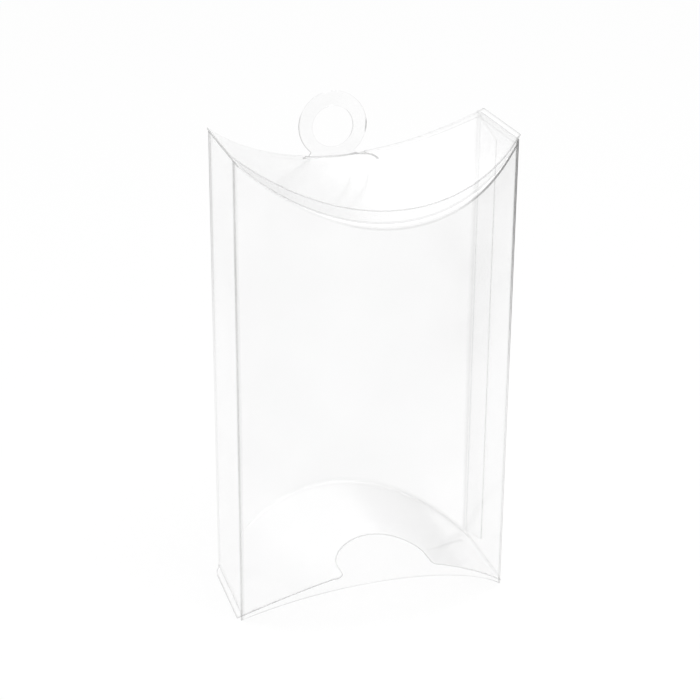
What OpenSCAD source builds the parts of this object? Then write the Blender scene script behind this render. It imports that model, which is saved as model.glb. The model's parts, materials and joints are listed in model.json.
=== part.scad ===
// A clear plastic pillow box with flat side panels, standing upright and closed at both ends.
// One sheet of clear film is folded into a sleeve: a bulging front and back panel, two flat side
// panels and a glue tab. The ends are closed by flaps that dip into the sleeve along curved folds.
// X runs across the front, Y from front to back, Z up. The origin is the bottom centre.

/* [Box] */
// Width across the two flat side panels
box_w = 70; // [50:0.5:120]
// Depth of the flat side panels
box_d = 26.3; // [16:0.1:60]
// Height from the table to the upper corners of the back panel
box_h = 121.3; // [90:0.1:240]
// How far the front and back panels bulge past the side panels
panel_bow = 14.7; // [8:0.1:18]
// How far the folds at the top dip at the middle of the box
top_fold_dip = 13.4; // [8:0.1:18]
// How far the folds at the bottom rise at the middle of the box
bottom_fold_rise = 14.5; // [8:0.1:18]
// Thickness of the clear film
film = 0.3; // [0.2:0.05:0.5]

/* [Side panels] */
// How far the side panels stop short of the box's height at the top
side_short_top = 0.4; // [0.4:0.1:2]
// How far the side panels stop short of the table at the bottom
side_short_bottom = 2.1; // [2.1:0.1:4]
// Width of the glue tab inside the right side panel
glue_w = 12.5; // [6:0.5:15]
// Height over which each end of the glue tab tapers off
glue_taper = 3.5; // [1:0.5:8]
// Distance from the side panel's end to the glue tab's end
glue_end_gap = 0.6; // [0.5:0.1:3]

/* [Hanger flap] */
// Outer diameter of the hanging ring
ring_d = 17.9; // [15:0.1:19]
// Diameter of the hanging hole
hole_d = 10.6; // [6:0.1:11]
// Height of the ring's centre above the back fold
ring_rise = 8.3; // [6.5:0.1:11]
// Height of the hole's centre above the back fold
hole_rise = 8; // [7.5:0.1:10]
// Width of the neck below the ring
neck_w = 11.7; // [8:0.1:12]
// Distance of the ring from the middle of the box
ring_shift = 0.2; // [-1:0.1:1]
// Gap between the ring's neck and the back panel
neck_gap = 0.45; // [0.4:0.05:1]
// Gap between the hanger flap's free edge and the back panel
hanger_end_gap = 1; // [0.6:0.1:3]
// Gap between the hanger flap's sides and the side panels
hanger_side_gap = 0.6; // [0.5:0.1:2]

/* [Slit] */
// Length of the slit that the ring stands up through
slit_w = 20.4; // [20:0.1:24]
// Distance of the slit's centre from the middle of the box
slit_shift = 2.3; // [0:0.1:2.5]
// Width of the slit, from the back fold forwards
slit_open = 3; // [2.8:0.1:4]
// Radius of the slit's two round ends
slit_end_r = 3.2; // [2:0.1:4]

/* [Top flap] */
// How far the top flap's sides stick out past the side panels
top_side_lip = 0.3; // [0.1:0.1:1]
// How far the top flap's free edge dips at its middle
top_edge_dip = 11.2; // [7:0.1:14]
// How far the top flap's free edge bulges forwards
top_edge_bow = 14.7; // [8:0.1:16]

/* [Bottom flap] */
// How far the bottom flap's sides stick out past the side panels
bottom_side_lip = 0.6; // [0.1:0.1:0.8]
// How far the bottom flap's free edge is lifted above the curve of its fold
bottom_edge_lift = 5.5; // [1:0.1:6]
// Gap between the bottom flap's free edge and the front panel
bottom_edge_gap = 0.5; // [0.3:0.1:2]
// Width of the thumb notch
notch_w = 23; // [14:0.5:28]
// Depth of the thumb notch from the free edge at the middle
notch_depth = 18.5; // [14:0.5:22]
// Radius that rounds the two corners of the notch's mouth
notch_corner_r = 1.5; // [0.5:0.1:3]

/* [Fits] */
// Gap across a fold between a flap and the panel that it hangs on
fold_gap = 0.1; // [0.05:0.05:0.2]
// Gap between the hanger flap and the top flap that lies over it
stack_gap = 0.3; // [0.3:0.05:0.8]

/* [Hidden] */
$fn = 96;
clear_color = [0.86, 0.9, 0.93, 0.45];

// Strips and rows that each flap's curved sheet is made of
strips = 40;
rows = 4;
// Distance from the middle within which the lift of the bottom flap's free edge is rounded off
lift_round = 8;

half_w = box_w / 2;
half_d = box_d / 2;
bow_r = arc_r(half_w, panel_bow);
dip_r = arc_r(half_w, top_fold_dip);
back_y = half_d + panel_bow;
fold_z = box_h - top_fold_dip;
dip_axis_z = fold_z + dip_r;
top_half = half_w + top_side_lip;
bottom_half = half_w + bottom_side_lip;
bottom_r = arc_r(bottom_half, bottom_fold_rise);
neck_y = back_y - film - neck_gap;
ring_z = fold_z + ring_rise;
beyond = box_h + box_w;

// Radius of a circular arc from half its chord and its rise
function arc_r(half, rise) = (half * half + rise * rise) / (2 * rise);
// Height of that arc above its chord, at a distance x from its middle
function arc(x, half, rise) = circle_y(x, arc_r(half, rise)) - arc_r(half, rise) + rise;
// Height of a circle of radius r above its centre, at a distance x from its middle
function circle_y(x, r) = sqrt(r * r - x * x);
function mix(a, b, k) = a + (b - a) * k;

// The outer faces of the back and front panels
function back_face(x) = half_d + arc(x, half_w, panel_bow);
function front_face(x) = -back_face(x);

// The lower face of the top flap at its fold, and at its free edge
function top_fold_z(x) = dip_axis_z - circle_y(x, dip_r - fold_gap);
function top_edge_z(x) = top_fold_z(top_half) - arc(x, top_half, top_edge_dip);
function top_edge_y(x) = -half_d - arc(x, half_w, top_edge_bow);

// The lower face of the bottom flap at its fold, and at its free edge
function bottom_fold_z(x) = arc(x, bottom_half, bottom_fold_rise);
function bottom_edge_z(x) = bottom_fold_z(x) + bottom_edge_lift * lift_share(x);
function bottom_edge_y(x) = front_face(x) + film + bottom_edge_gap;
// Share of the free edge's lift: greatest at the middle and none at the corners
function lift_share(x) = pow(1 - norm([x, lift_round]) / norm([bottom_half, lift_round]), 1.3);

// Height through the film where an arc of radius r slopes
function film_height(x, r) = film * r / circle_y(x, r);

// A curved sheet of film between a fold at the back and a free edge at the front.
// low is a grid of points on its lower face and high is the same grid on its upper face.
module sheet(low, high) {
    m = len(low[0]);
    n = len(low);
    count = n * m;
    points = concat([for (line = low) each line], [for (line = high) each line]);
    lower = [for (i = [0 : n - 2], j = [0 : m - 2]) let (a = i * m + j)
        each [[a, a + m + 1, a + m], [a, a + 1, a + m + 1]]];
    upper = [for (i = [0 : n - 2], j = [0 : m - 2]) let (a = count + i * m + j)
        each [[a, a + m, a + m + 1], [a, a + m + 1, a + 1]]];
    back = [for (i = [0 : n - 2]) let (a = i * m)
        each [[a + m, a + m + count, a + count], [a + m, a + count, a]]];
    front = [for (i = [0 : n - 2]) let (a = i * m + m - 1)
        each [[a, a + count, a + m + count], [a, a + m + count, a + m]]];
    left = [for (j = [0 : m - 2]) each [[j, j + count, j + 1 + count], [j, j + 1 + count, j + 1]]];
    right = [for (j = [0 : m - 2]) let (a = (n - 1) * m + j)
        each [[a + 1, a + 1 + count, a + count], [a + 1, a + count, a]]];
    polyhedron(points = points, faces = concat(lower, upper, back, front, left, right), convexity = 8);
}

// Outline of the sleeve seen from above, drawn in by inset
module outline(inset) {
    for (side = [-1, 1])
        intersection() {
            translate([0, side * (back_y - bow_r)])
                circle(r = bow_r - inset);
            translate([-half_w + inset, side > 0 ? 0 : -beyond])
                square([box_w - 2 * inset, beyond]);
        }
}

// A cylinder across the top of the box whose lower side is an end's curved surface
module top_dip(r) {
    translate([0, 0, dip_axis_z])
        rotate([90, 0, 0])
            cylinder(r = r, h = 2 * beyond, center = true);
}

// A cylinder across the bottom of the box whose upper side is an end's curved surface,
// raised by lift above the arc that meets the table at half
module bottom_dip(half, lift) {
    r = arc_r(half, bottom_fold_rise);
    translate([0, 0, bottom_fold_rise - r])
        rotate([90, 0, 0])
            cylinder(r = r + lift, h = 2 * beyond, center = true);
}

// The half of space in front of the box's middle, or behind it
module half_space(side) {
    translate([-beyond, side > 0 ? 0 : -2 * beyond, -beyond])
        cube([2 * beyond, 2 * beyond, 4 * beyond]);
}

// The four panels at their full height
module wall_ring() {
    linear_extrude(height = box_h)
        difference() {
            outline(0);
            outline(film);
        }
}

// Walls of the sleeve, cut off along the curved folds
module walls() {
    difference() {
        wall_ring();
        intersection() {
            top_dip(dip_r);
            half_space(1);
        }
        intersection() {
            top_dip(dip_r + stack_gap);
            half_space(-1);
        }
        intersection() {
            bottom_dip(bottom_half, film + fold_gap);
            half_space(1);
        }
        intersection() {
            bottom_dip(half_w, 0);
            half_space(-1);
        }
        side_ends();
    }
}

// What is cut off the ends of the two flat side panels
module side_ends() {
    side_top = box_h - side_short_top;
    for (z = [side_short_bottom - beyond, side_top])
        translate([-beyond, -half_d + film, z])
            cube([2 * beyond, box_d - 2 * film, beyond]);
}

// Glue tab folded in from the back panel and stuck inside the right side panel
module glue_tab() {
    low = side_short_bottom + glue_end_gap;
    high = box_h - side_short_top - glue_end_gap;
    translate([half_w - 2 * film, 0, 0])
        rotate([90, 0, 90])
            linear_extrude(height = 1.5 * film)
                polygon([
                    [half_d, low],
                    [half_d, high],
                    [half_d - glue_w, high - glue_taper],
                    [half_d - glue_w, low + glue_taper]
                ]);
}

// Flap folded in from the front panel, under the top flap
module hanger_flap() {
    intersection() {
        difference() {
            top_dip(dip_r + stack_gap + film);
            top_dip(dip_r + stack_gap);
        }
        linear_extrude(height = box_h)
            hanger_outline();
    }
}

// Outline of the hanger flap seen from above
module hanger_outline() {
    side_x = half_w - film - hanger_side_gap;
    intersection() {
        outline(0);
        translate([-side_x, -beyond])
            square([2 * side_x, beyond]);
    }
    intersection() {
        outline(film + hanger_end_gap);
        translate([-side_x, 0])
            square([2 * side_x, beyond]);
    }
    translate([ring_shift - neck_w / 2, 0])
        square([neck_w, neck_y]);
}

// Ring and neck, bent up from the hanger flap's free edge
module ring() {
    intersection() {
        translate([0, neck_y, 0])
            rotate([90, 0, 0])
                linear_extrude(height = film)
                    ring_outline();
        top_dip(dip_r + stack_gap + film);
    }
}

// Outline of the ring and its neck seen from the front
module ring_outline() {
    difference() {
        translate([ring_shift, 0])
            union() {
                translate([0, ring_z])
                    circle(d = ring_d);
                translate([-neck_w / 2, fold_z - top_fold_dip])
                    square([neck_w, ring_rise + top_fold_dip]);
            }
        translate([ring_shift, fold_z + hole_rise])
            circle(d = hole_d);
    }
}

// The folded sheet: four panels, the glue tab, and the hanger flap with its ring
module sleeve() {
    color(clear_color)
        union() {
            walls();
            glue_tab();
            hanger_flap();
            ring();
        }
}

// Flap that folds forwards from the back panel over the top, with the slit along its fold
module top_flap() {
    xs = [for (i = [0 : strips]) top_half * (2 * i / strips - 1)];
    low = [for (x = xs) [for (j = [0 : rows]) let (k = j / rows)
        [x, mix(back_face(x), top_edge_y(x), k), mix(top_fold_z(x), top_edge_z(x), k)]]];
    high = [for (line = low) [for (p = line) [p.x, p.y, p.z + film_height(p.x, dip_r - fold_gap)]]];
    color(clear_color)
        difference() {
            sheet(low, high);
            slit();
        }
}

// The slit, as wide as slit_open and parallel to the back fold, with ends that curve forwards
module slit() {
    linear_extrude(height = 2 * box_h)
        difference() {
            hull()
                for (side = [-1, 1]) {
                    x = slit_shift + side * (slit_w / 2 - slit_end_r);
                    translate([x, back_face(x) - 0.8 * slit_end_r])
                        circle(r = slit_end_r);
                }
            translate([0, back_y - bow_r])
                circle(r = bow_r - slit_open);
        }
}

// Flap that folds forwards from the back panel under the box, with the thumb notch
module bottom_flap() {
    xs = [for (i = [0 : strips]) bottom_half * (2 * i / strips - 1)];
    low = [for (x = xs) [for (j = [0 : rows]) let (k = j / rows)
        [x, mix(back_face(x), bottom_edge_y(x), k), mix(bottom_fold_z(x), bottom_edge_z(x), k)]]];
    high = [for (line = low) [for (p = line) [p.x, p.y, p.z + film_height(p.x, bottom_r)]]];
    color(clear_color)
        difference() {
            sheet(low, high);
            translate([0, 0, -beyond])
                linear_extrude(height = 2 * beyond)
                    notch_outline();
        }
}

// The thumb notch seen from above: a round end and a mouth with rounded corners
module notch_outline() {
    edge_y = bottom_edge_y(0);
    notch_r = notch_w / 2;
    end_y = edge_y + notch_depth - notch_r;
    corner_y = bottom_edge_y(notch_r);
    translate([0, end_y])
        circle(r = notch_r);
    translate([-notch_r, edge_y - notch_r])
        square([notch_w, end_y - edge_y + notch_r]);
    for (side = [-1, 1])
        difference() {
            translate([side * (notch_r + notch_corner_r / 2), corner_y])
                square([notch_corner_r, 2 * notch_corner_r], center = true);
            translate([side * (notch_r + notch_corner_r), corner_y + notch_corner_r])
                circle(r = notch_corner_r);
        }
}

sleeve();
top_flap();
bottom_flap();
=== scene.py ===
# %% [markdown]
# # A clear film pillow box
# The object is one sheet of clear film, folded and glued into a tall box: a bulging front and back
# panel, two flat side panels, and curved flaps that close both ends. Clear film shows itself only
# by its folds, its cut edges and its reflections, so those three get most of the work here.
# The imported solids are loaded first. They fix the size and place of everything below.

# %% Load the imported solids
import heapq
import json
import math

import bmesh
import bpy
from mathutils import Matrix, Vector
from mathutils.geometry import delaunay_2d_cdt, interpolate_bezier
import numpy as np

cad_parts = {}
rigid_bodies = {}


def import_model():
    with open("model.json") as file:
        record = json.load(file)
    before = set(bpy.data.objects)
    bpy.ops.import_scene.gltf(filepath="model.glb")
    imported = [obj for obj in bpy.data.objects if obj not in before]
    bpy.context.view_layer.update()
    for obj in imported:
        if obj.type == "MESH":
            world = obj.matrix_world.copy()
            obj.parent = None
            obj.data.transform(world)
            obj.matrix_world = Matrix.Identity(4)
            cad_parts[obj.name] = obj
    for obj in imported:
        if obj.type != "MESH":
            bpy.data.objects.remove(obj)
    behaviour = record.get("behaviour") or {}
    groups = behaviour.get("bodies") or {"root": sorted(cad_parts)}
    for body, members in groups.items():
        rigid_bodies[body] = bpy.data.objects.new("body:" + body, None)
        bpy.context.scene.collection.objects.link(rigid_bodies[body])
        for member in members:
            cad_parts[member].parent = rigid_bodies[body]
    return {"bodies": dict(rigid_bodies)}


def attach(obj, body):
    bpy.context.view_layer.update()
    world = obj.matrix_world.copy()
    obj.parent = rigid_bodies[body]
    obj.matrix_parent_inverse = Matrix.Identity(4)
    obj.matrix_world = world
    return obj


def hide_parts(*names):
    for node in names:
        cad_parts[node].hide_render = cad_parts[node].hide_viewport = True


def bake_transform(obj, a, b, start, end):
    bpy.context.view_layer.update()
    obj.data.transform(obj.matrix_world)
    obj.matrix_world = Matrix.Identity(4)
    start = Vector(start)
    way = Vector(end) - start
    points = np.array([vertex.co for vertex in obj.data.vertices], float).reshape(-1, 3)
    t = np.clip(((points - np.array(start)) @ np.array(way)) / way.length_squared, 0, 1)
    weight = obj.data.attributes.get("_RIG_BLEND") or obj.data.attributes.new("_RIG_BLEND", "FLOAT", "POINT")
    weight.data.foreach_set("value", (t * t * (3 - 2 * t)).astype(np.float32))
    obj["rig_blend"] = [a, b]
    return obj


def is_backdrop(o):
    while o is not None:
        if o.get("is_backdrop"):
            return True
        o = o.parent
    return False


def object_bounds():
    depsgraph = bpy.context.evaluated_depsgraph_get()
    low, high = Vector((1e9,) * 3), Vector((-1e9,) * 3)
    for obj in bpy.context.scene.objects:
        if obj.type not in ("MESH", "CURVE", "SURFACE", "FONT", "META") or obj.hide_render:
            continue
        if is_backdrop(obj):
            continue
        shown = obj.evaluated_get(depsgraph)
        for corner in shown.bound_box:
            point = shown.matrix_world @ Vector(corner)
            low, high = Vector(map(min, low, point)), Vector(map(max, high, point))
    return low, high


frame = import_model()
cad_box = [list(corner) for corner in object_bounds()]
for body in frame["bodies"]:
    print("body", body)

# %% [markdown]
# The sizes are the same named values as in the part's source, in millimetres. A film box is made of
# arcs: seen from above each big panel is an arc, and seen from the front each end fold is an arc.
# One small function for an arc over a chord therefore serves the whole box.

# %% Sizes and arcs
MM = 0.001
half_width, half_depth, height = 35.0, 13.15, 121.3
panel_bow, top_dip, bottom_rise = 14.7, 13.4, 14.5
film = 0.3
back_y = half_depth + panel_bow
fold_height = height - top_dip


def arc_radius(half, rise):
    return (half * half + rise * rise) / (2 * rise)


def arc(x, half, rise):
    """Height of an arc above its chord at a distance x from its middle."""
    r = arc_radius(half, rise)
    return math.sqrt(r * r - x * x) - r + rise


def back_face(x):
    return half_depth + arc(x, half_width, panel_bow)


dip_radius = arc_radius(half_width, top_dip)
dip_axis = fold_height + dip_radius


def dip_height(x, below):
    """Height of the curved top, a given distance below the back fold's surface."""
    r = dip_radius + below
    return dip_axis - math.sqrt(r * r - x * x)


def spread(start, end, steps):
    return [start + (end - start) * i / steps for i in range(steps + 1)]


def swell(value, start, end):
    """Nought on start's side, one on end's side, and smooth between them."""
    share = min(1.0, max(0.0, (value - start) / (end - start)))
    return share * share * (3 - 2 * share)


print("box", 2 * half_width, "wide,", round(2 * back_y, 1), "deep,", height, "high")

# %% [markdown]
# ## Camera
# The photograph was taken from a little to the left of the front and from about 22 degrees above.
# The distance and the lens were found by fitting the folds' corners, so the perspective is the
# photograph's own. The camera is set from a view direction and a small roll, which is easier to
# check than three turning angles.

# %% Camera
image_side = 700
focal_pixels = 1828.0
camera_turn, camera_lift = math.radians(-16.61), math.radians(22.44)
camera_roll = math.radians(0.42)
camera_distance, camera_target = 458.45, Vector((-2.8, 0.0, 65.5))

backwards = Vector((math.sin(camera_turn) * math.cos(camera_lift),
                    -math.cos(camera_turn) * math.cos(camera_lift), math.sin(camera_lift)))
level = Vector((math.cos(camera_turn), math.sin(camera_turn), 0.0))
upwards = backwards.cross(level)
right = level * math.cos(camera_roll) + upwards * math.sin(camera_roll)
above = upwards * math.cos(camera_roll) - level * math.sin(camera_roll)
place = (camera_target + backwards * camera_distance) * MM

camera_data = bpy.data.cameras.new("camera")
camera_data.sensor_width = 36.0
camera_data.lens = focal_pixels * camera_data.sensor_width / image_side
camera_data.clip_start, camera_data.clip_end = 0.01, 20.0
camera = bpy.data.objects.new("camera", camera_data)
camera.matrix_world = Matrix((
    (right.x, above.x, backwards.x, place.x),
    (right.y, above.y, backwards.y, place.y),
    (right.z, above.z, backwards.z, place.z),
    (0.0, 0.0, 0.0, 1.0)))
bpy.context.scene.collection.objects.link(camera)
bpy.context.scene.camera = camera
print("lens", round(camera_data.lens, 2), "mm, camera at", [round(v, 3) for v in place])

# %% [markdown]
# ## Clear film
# Real film is polyester about 0.3 mm thick. A glass shader would bend what lies behind each wall
# and needs many bounces, while thin film hardly bends light at all. So the film is see-through
# paint mixed with a mirror, and the mirror grows stronger at grazing angles, as on gloss plastic.
# Two measures are stored on every sheet, in millimetres: `fold`, how far a point is from the
# nearest fold, and `cut`, how far it is from the nearest cut edge. Three marks go with them:
# `crease` and `soft` say how dark that fold's fine line and its broad band are, and `rim` how
# plainly that cut edge shows. A sixth value says how grey the film is at a point, from its own haze
# and from painted reflection. From these six the material draws the dark lines at folds and cuts,
# which are partly stressed film and partly painted shade and reflection of the rounded folds and the
# cut edges, and the film's greyness.
#
# The helpers come first. Sums and products of node values make up most of a material's tree, so
# each is one short call here.


# %% Small helpers for materials
def node(tree, kind, **settings):
    made = tree.nodes.new(kind)
    for name, value in settings.items():
        setattr(made, name, value)
    return made


def math_node(tree, operation, first, second=None, clamp=False):
    made = node(tree, "ShaderNodeMath", operation=operation, use_clamp=clamp)
    for socket, value in zip(made.inputs, (first, second)):
        if value is None:
            continue
        if isinstance(value, (int, float)):
            socket.default_value = value
        else:
            tree.links.new(value, socket)
    return made.outputs[0]


def fade(tree, value, near, far):
    """One at near and none at far, with soft ends."""
    made = node(tree, "ShaderNodeMapRange", interpolation_type="SMOOTHSTEP")
    tree.links.new(value, made.inputs["Value"])
    made.inputs["From Min"].default_value = near
    made.inputs["From Max"].default_value = far
    made.inputs["To Min"].default_value = 1.0
    made.inputs["To Max"].default_value = 0.0
    return made.outputs["Result"]


def stored(tree, name):
    return node(tree, "ShaderNodeAttribute", attribute_name=name).outputs["Fac"]


def noise(tree, scale, detail=2.0):
    """Soft mottling that stays on the object, with a scale in blotches per metre."""
    place_on = node(tree, "ShaderNodeTexCoord")
    made = node(tree, "ShaderNodeTexNoise")
    made.inputs["Scale"].default_value = scale
    made.inputs["Detail"].default_value = detail
    tree.links.new(place_on.outputs["Object"], made.inputs["Vector"])
    return made.outputs["Fac"]


def times(tree, *values):
    total = values[0]
    for value in values[1:]:
        total = math_node(tree, "MULTIPLY", total, value)
    return total


def plus(tree, *values):
    total = values[0]
    for value in values[1:]:
        total = math_node(tree, "ADD", total, value)
    return total


def empty_material(name):
    """A new material with nothing in its node tree yet."""
    material = bpy.data.materials.new(name)
    material.use_nodes = True
    material.node_tree.nodes.clear()
    return material, material.node_tree


def shader(tree, kind, tone):
    """A shader of one grey tone, set on its own colour socket."""
    made = node(tree, kind)
    made.inputs["Color"].default_value = (tone, tone, tone, 1.0)
    return made


def end_in_mix(tree, share, first, second, output="ShaderNodeOutputMaterial"):
    """Mixes the second shader into the first by a share, as the tree's result."""
    mix = node(tree, "ShaderNodeMixShader")
    tree.links.new(share, mix.inputs["Fac"])
    tree.links.new(first.outputs[0], mix.inputs[1])
    tree.links.new(second.outputs[0], mix.inputs[2])
    tree.links.new(mix.outputs[0], node(tree, output).inputs["Surface"])


print("a material's tree is put together with stored, fade, noise, times and plus")

# %% [markdown]
# The tone of the see-through part is a grey made from four terms: a nearly clear base with a faint
# cloudiness, which is partly the film's own haze and partly blotches of painted reflection, the fine
# line and the broad band along a fold, and the line along a cut edge. These lines are partly
# stressed film and partly painted shade and reflection. They are broken up a little, as stressed
# film whitens unevenly. The mirror part has a faint waviness, because film that has been folded by
# machine is never quite flat.

# %% How film looks
line_core, line_reach, band_reach, cut_reach = 0.05, 0.45, 1.6, 0.4
cut_darkness = 0.1
line_least, line_patches = 0.65, 0.35
# The film's own haze, and the strength of the blotches of painted reflection on it.
cloud_least, reflection_blotches = 0.005, 0.007
mirror_head_on, mirror_grazing, grazing_power = 0.04, 0.9, 5.0
film_roughness, wave_strength, wave_distance = 0.15, 0.12, 0.001
patch_scale, reflection_blotch_scale, wave_scale = 60.0, 45.0, 70.0
print("lines reach", line_reach, "mm from a fold and", cut_reach, "mm from a cut")


# %% The film's material
def clear_film_material():
    material, tree = empty_material("clear film")
    from_fold, from_cut = stored(tree, "fold"), stored(tree, "cut")
    # Painted shade: the fold's fine line and band and the cut's line, partly stressed film and partly the
    # shade and reflection of rounded folds and cut edges.
    fold_line = times(tree, fade(tree, from_fold, line_core, line_reach), stored(tree, "crease"))
    fold_band = times(tree, fade(tree, from_fold, 0.0, band_reach), stored(tree, "soft"))
    cut_line = times(tree, fade(tree, from_cut, 0.0, cut_reach), stored(tree, "rim"), cut_darkness)
    patches = times(tree, fade(tree, noise(tree, patch_scale, 3.0), 0.7, 0.3), line_patches)
    lines = times(tree, plus(tree, fold_line, cut_line), plus(tree, patches, line_least))
    # The film's own haze, with noise blotches of painted reflection on top, scaled by the stored haze and
    # painted reflection map.
    haze_and_reflection_tone = times(tree, fade(tree, noise(tree, reflection_blotch_scale, 2.0), 0.65, 0.35), reflection_blotches)
    haze_and_reflection_tone = times(tree, plus(tree, haze_and_reflection_tone, cloud_least), stored(tree, "haze_and_reflection"))
    darkness = plus(tree, lines, fold_band, haze_and_reflection_tone)
    tone = math_node(tree, "SUBTRACT", 1.0, darkness, clamp=True)
    grey = node(tree, "ShaderNodeCombineColor")
    for channel in ("Red", "Green", "Blue"):
        tree.links.new(tone, grey.inputs[channel])
    see_through = node(tree, "ShaderNodeBsdfTransparent")
    tree.links.new(grey.outputs["Color"], see_through.inputs["Color"])

    wave = node(tree, "ShaderNodeBump")
    wave.inputs["Strength"].default_value = wave_strength
    wave.inputs["Distance"].default_value = wave_distance
    tree.links.new(noise(tree, wave_scale, 1.0), wave.inputs["Height"])
    gloss = shader(tree, "ShaderNodeBsdfGlossy", 1.0)
    gloss.inputs["Roughness"].default_value = film_roughness
    tree.links.new(wave.outputs["Normal"], gloss.inputs["Normal"])

    facing = node(tree, "ShaderNodeLayerWeight")
    facing.inputs["Blend"].default_value = 0.5
    grazing = math_node(tree, "POWER", facing.outputs["Facing"], grazing_power)
    # Under the painted fold and cut lines the mirror is weakened as well.
    stress = times(tree, plus(tree, lines, fold_band), 2.0)
    unstressed = math_node(tree, "SUBTRACT", 1.0, stress, clamp=True)
    mirror = plus(tree, times(tree, grazing, mirror_grazing), mirror_head_on)
    end_in_mix(tree, times(tree, mirror, unstressed), see_through, gloss)
    return material


# %% [markdown]
# A cut edge is a rough, narrow face that catches light and hides what is behind it. It is greyer
# than the film and only partly see-through.


# %% The cut edge's material
def cut_edge_material():
    material, tree = empty_material("cut edge of film")
    frost_least, frost_patches, frost_scale = 0.1, 0.3, 80.0
    mottled = plus(tree, times(tree, noise(tree, frost_scale, 3.0), frost_patches), frost_least)
    # How much frosting shows follows the rim mark, whose strength from place to place is partly painted
    # reflection.
    amount = math_node(tree, "MULTIPLY", mottled, stored(tree, "rim"), clamp=True)
    see_through = shader(tree, "ShaderNodeBsdfTransparent", 0.97)
    frosted = shader(tree, "ShaderNodeBsdfDiffuse", 0.45)
    end_in_mix(tree, amount, see_through, frosted)
    return material


clear_film = clear_film_material()
cut_edge = cut_edge_material()
print("materials", clear_film.name, "and", cut_edge.name)

# %% [markdown]
# ## From a bare sheet to film with a thickness
# Each sheet is laid out as its outer face only. One Geometry Nodes tree then gives all sheets their
# thickness: it pushes the face inwards along its normals, which also makes the rim, turns the new
# faces round and joins them to the outer face. The rim is given the cut edge's material, except
# along a seam where the film really runs on into a flap. Solidify would do much the same, but the
# tree can tell a cut rim from a seam by the stored measure.


# %% The thickness tree
def thickness_tree():
    tree = bpy.data.node_groups.new("film thickness", "GeometryNodeTree")
    sockets = {}
    for name, kind in (("Sheet", "Geometry"), ("Thickness", "Float"), ("Seam limit", "Float"),
                       ("Film", "Material"), ("Cut edge", "Material")):
        made = tree.interface.new_socket(name, in_out="INPUT", socket_type="NodeSocket" + kind)
        sockets[name] = made.identifier
    tree.interface.new_socket("Shell", in_out="OUTPUT", socket_type="NodeSocketGeometry")
    start, end = node(tree, "NodeGroupInput"), node(tree, "NodeGroupOutput")
    link = tree.links.new

    inward = node(tree, "ShaderNodeMath", operation="MULTIPLY")
    inward.inputs[1].default_value = -1.0
    link(start.outputs["Thickness"], inward.inputs[0])
    push = node(tree, "GeometryNodeExtrudeMesh", mode="FACES")
    push.inputs["Individual"].default_value = False
    link(start.outputs["Sheet"], push.inputs["Mesh"])
    link(inward.outputs[0], push.inputs["Offset Scale"])
    turn_round = node(tree, "GeometryNodeFlipFaces")
    link(push.outputs["Mesh"], turn_round.inputs["Mesh"])
    together = node(tree, "GeometryNodeJoinGeometry")
    link(turn_round.outputs["Mesh"], together.inputs["Geometry"])
    link(start.outputs["Sheet"], together.inputs["Geometry"])
    weld = node(tree, "GeometryNodeMergeByDistance")
    weld.inputs["Distance"].default_value = 0.001 * MM
    link(together.outputs["Geometry"], weld.inputs["Geometry"])

    rim = push.outputs["Side"]
    not_rim = node(tree, "FunctionNodeBooleanMath", operation="NOT")
    link(rim, not_rim.inputs[0])
    smooth = node(tree, "GeometryNodeSetShadeSmooth")
    link(weld.outputs["Geometry"], smooth.inputs["Geometry"])
    link(not_rim.outputs[0], smooth.inputs["Shade Smooth"])

    from_cut = node(tree, "GeometryNodeInputNamedAttribute", data_type="FLOAT")
    from_cut.inputs["Name"].default_value = "cut"
    near_cut = node(tree, "FunctionNodeCompare", data_type="FLOAT", operation="LESS_THAN")
    link(from_cut.outputs["Attribute"], near_cut.inputs["A"])
    link(start.outputs["Seam limit"], near_cut.inputs["B"])
    cut_rim = node(tree, "FunctionNodeBooleanMath", operation="AND")
    link(rim, cut_rim.inputs[0])
    link(near_cut.outputs["Result"], cut_rim.inputs[1])

    real = node(tree, "GeometryNodeRealizeInstances")
    link(smooth.outputs["Geometry"], real.inputs["Geometry"])
    all_film = node(tree, "GeometryNodeSetMaterial")
    link(real.outputs["Geometry"], all_film.inputs["Geometry"])
    link(start.outputs["Film"], all_film.inputs["Material"])
    rim_finish = node(tree, "GeometryNodeSetMaterial")
    link(all_film.outputs["Geometry"], rim_finish.inputs["Geometry"])
    link(cut_rim.outputs[0], rim_finish.inputs["Selection"])
    link(start.outputs["Cut edge"], rim_finish.inputs["Material"])
    link(rim_finish.outputs["Geometry"], end.inputs["Shell"])
    return tree, sockets


film_tree, film_inputs = thickness_tree()
print("thickness tree has", len(film_tree.nodes), "nodes")

# %% [markdown]
# A sheet is collected as points, faces and marks. A crease or soft mark on a point says that a fold
# runs through it, and a seam mark that the film runs on there into a flap.


# %% A sheet of film
class Sheet:
    def __init__(self):
        self.points, self.faces, self.marks = [], [], []

    def add(self, point, crease=0.0, soft=0.0, rim=1.0, seam=False, fold=-1.0, cut=-1.0, haze_and_reflection=1.0):
        self.points.append(point)
        self.marks.append({"crease": crease, "soft": soft, "rim": rim, "seam": float(seam),
                           "fold": fold, "cut": cut, "haze_and_reflection": haze_and_reflection})
        return len(self.points) - 1

    def grid(self, lines):
        """Joins neighbouring lines of points, each a list of point numbers, with quads."""
        for one, two in zip(lines, lines[1:]):
            for a, b, c, d in zip(one, one[1:], two[1:], two):
                self.faces.append((a, b, c, d))


print("a sheet takes points, faces and marks, and makes grids of them")

# %% [markdown]
# On the sleeve the two measures are found by walking over the sheet's own edges, from the marked
# points and from the rim. A straight distance would be quicker to work out, but then a neighbouring
# panel that only lies close by would count. The flaps are measured exactly, on their flat layout,
# and bring both measures along.

# %% Measures over a sheet
walk_limit, far_off = 4.0, 9.0


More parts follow.
